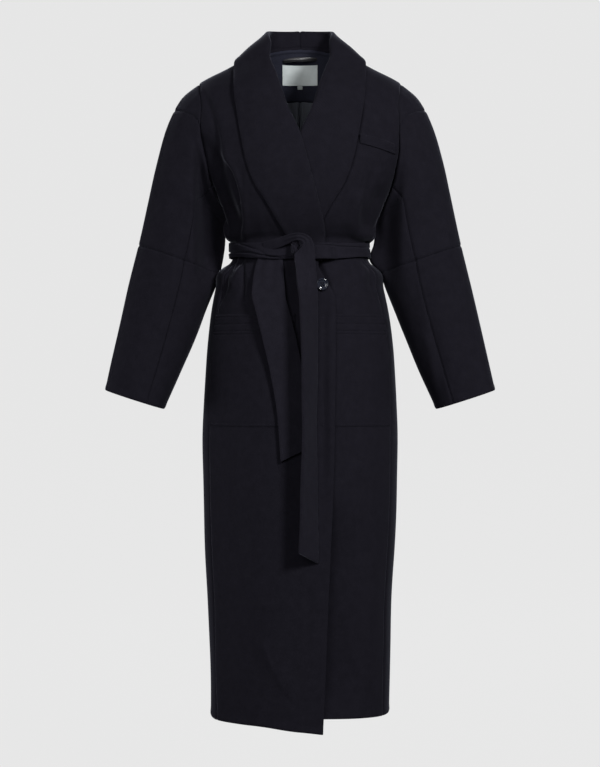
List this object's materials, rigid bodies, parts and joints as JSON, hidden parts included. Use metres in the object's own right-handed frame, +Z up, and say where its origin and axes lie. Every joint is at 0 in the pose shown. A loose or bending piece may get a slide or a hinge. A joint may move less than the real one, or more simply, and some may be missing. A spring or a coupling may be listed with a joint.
{
  "type": "oversized wrap coat",
  "caption": "Long oversized wrap coat in dark navy wool, in its hollow worn shape, with a shawl collar, wide sleeves, patch pockets, a chest welt and a tied belt.",
  "frame": {"origin": "midway between the two shoulder seams at neck height, where the wearer's shoulders carry the coat", "axes": "+Z up, the front faces -Y and the wearer's left is +X"},
  "size_m": [0.718, 0.3731, 1.292],
  "materials": {
    "wool": "napped wool coating",
    "lining": "satin",
    "loop": "satin",
    "label": "matt woven tape",
    "button": "polished"
  },
  "bodies": {
    "root": {"front_right": "wool", "front_left": "wool", "back": "wool", "sleeve_right_cap": "wool", "sleeve_right_upper_top": "wool", "sleeve_right_upper_under": "wool", "sleeve_right_lower_top": "wool", "sleeve_right_lower_under": "wool", "sleeve_left_cap": "wool", "sleeve_left_upper_top": "wool", "sleeve_left_upper_under": "wool", "sleeve_left_lower_top": "wool", "sleeve_left_lower_under": "wool", "collar_right": "wool", "collar_left": "wool", "pocket_right": "wool", "pocket_left": "wool", "chest_welt": "wool", "back_neck_facing": "wool", "belt_band": "wool", "belt_knot": "wool", "belt_end_long": "wool", "belt_end_short": "wool", "back_lining": "lining", "neck_label": "label", "size_tab": "label", "hanger_loop": "loop", "button": "button"}
  },
  "joints": []
}
